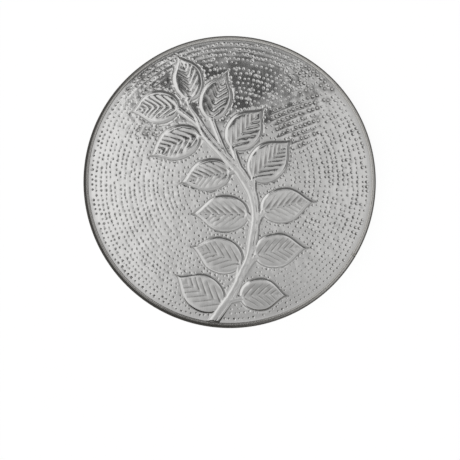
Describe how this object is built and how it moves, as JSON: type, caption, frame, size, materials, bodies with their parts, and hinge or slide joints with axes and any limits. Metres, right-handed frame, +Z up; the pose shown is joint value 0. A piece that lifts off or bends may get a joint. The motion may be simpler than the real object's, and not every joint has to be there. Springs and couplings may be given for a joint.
{
  "type": "metal tray",
  "caption": "Round shallow metal serving tray: a flat base plate embossed with a leafy branch, and a low upright rim band soldered round its edge.",
  "frame": {"origin": "on the table, under the centre of the tray", "axes": "+Z up out of the tray, +Y towards the upper leaves of the branch, away from its foot at the rim"},
  "size_m": [0.38, 0.38, 0.015],
  "materials": {
    "plate_metal": "satin, embossed and stippled",
    "rim_metal": "brushed along the strip",
    "seam_solder": "filed flush, slightly yellow",
    "corner_solder": "dull as cast"
  },
  "bodies": {
    "root": {"base_plate": "plate_metal", "rim_band": "rim_metal", "rim_seam_solder": "seam_solder", "corner_solder_fillet": "corner_solder"}
  },
  "joints": []
}
